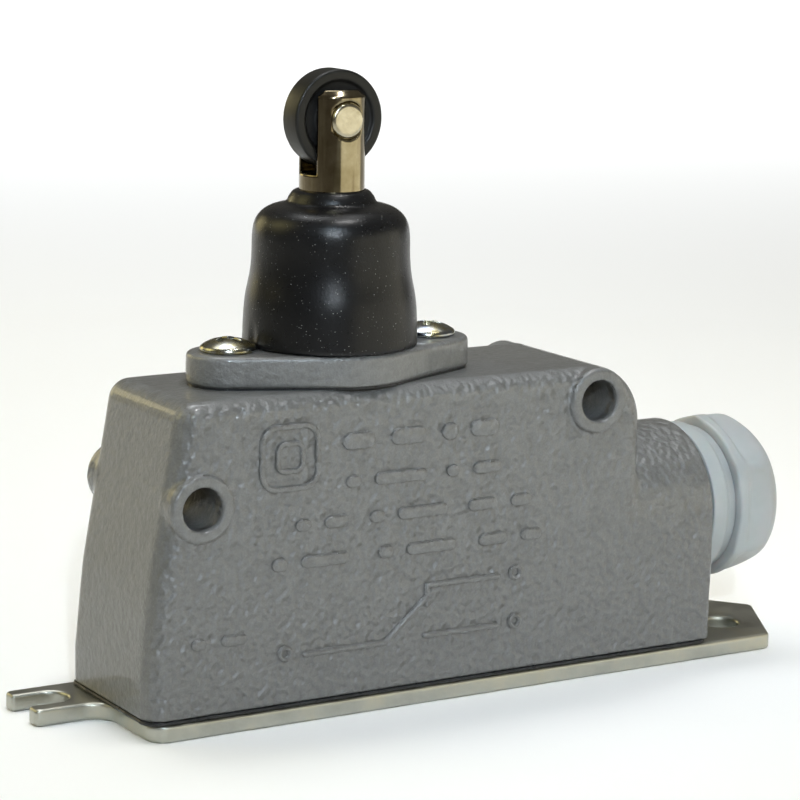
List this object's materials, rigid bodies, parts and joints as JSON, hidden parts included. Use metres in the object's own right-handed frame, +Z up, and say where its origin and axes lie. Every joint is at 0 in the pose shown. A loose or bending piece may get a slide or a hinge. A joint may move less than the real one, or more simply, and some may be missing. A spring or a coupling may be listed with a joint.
{
  "type": "limit switch",
  "caption": "Roller plunger limit switch with a grey die-cast housing, rubber boot, cable gland and slotted steel base plate.",
  "frame": {"origin": "underside of the base plate, on the plunger's centre line", "axes": "+X towards the cable gland, -Y out of the front face, +Z up along the plunger"},
  "size_m": [0.134, 0.0294, 0.0971],
  "materials": {
    "grey_paint": "hammertone grey enamel",
    "zinc_plate": "zinc plated, slightly yellow passivated",
    "black_rubber": "satin black rubber",
    "zinc_screw": "bright zinc",
    "bronze": "turned, satin",
    "nickel": "nickel plated, polished",
    "black_nylon": "satin black",
    "spring_steel": "oiled spring steel",
    "gland_grey": "light grey polyamide",
    "phenolic": "dark brown moulding",
    "red_plastic": "moulded",
    "brass_strip": "stamped strip",
    "silver": "silver contact metal"
  },
  "bodies": {
    "switch_body": {"housing": "grey_paint", "base_plate": "zinc_plate", "base_gasket": "black_rubber", "base_screws": "zinc_screw", "head_gasket": "black_rubber", "head_flange": "grey_paint", "head_screws": "zinc_screw", "guide_bush": "bronze", "boot": "black_rubber", "return_spring": "spring_steel", "gland_seal": "black_rubber", "gland_body": "gland_grey", "gland_cage": "gland_grey", "gland_insert": "black_rubber", "gland_nut": "gland_grey", "contact_base": "phenolic", "contact_cover": "phenolic", "contact_screws": "zinc_screw", "button_spring": "spring_steel", "common_terminal": "brass_strip", "nc_terminal": "brass_strip", "no_terminal": "brass_strip", "fixed_tips": "silver", "terminal_clamps": "zinc_screw", "terminal_screws": "zinc_screw", "earth_washer": "brass_strip", "earth_screw": "bronze"},
    "plunger": {"plunger": "nickel", "roller_pin": "nickel", "spring_seat": "spring_steel", "stop_clip": "spring_steel"},
    "roller": {"roller": "black_nylon", "roller_bush": "bronze"},
    "button": {"button": "red_plastic"},
    "contact_blade": {"blade": "brass_strip", "blade_tips": "silver"}
  },
  "joints": [
    {"name": "plunger_slide", "type": "slide", "parent": "switch_body", "child": "plunger", "axis": [0, 0, -1], "range_m": [0, 0.006], "stiffness_N_per_m": 1500, "springref_m": -0.004, "deforming": ["boot", "return_spring"]},
    {"name": "roller_spin", "type": "hinge", "parent": "plunger", "child": "roller", "pos_m": [0, 0, 0.0896], "axis": [0, 1, 0], "continuous": true},
    {"name": "button_slide", "type": "slide", "parent": "switch_body", "child": "button", "axis": [0, 0, -1], "range_m": [0, 0.006], "deforming": ["button_spring"]},
    {"name": "blade_turn", "type": "hinge", "parent": "switch_body", "child": "contact_blade", "pos_m": [-0.0115, -0.0045, 0.0204], "axis": [0, 1, 0], "range_deg": [0, 7]}
  ],
  "couplings": [
    {"joint": "button_slide", "follows": "plunger_slide", "ratio": 1},
    {"joint": "blade_turn", "follows": "plunger_slide", "rad_per_m": 20}
  ]
}
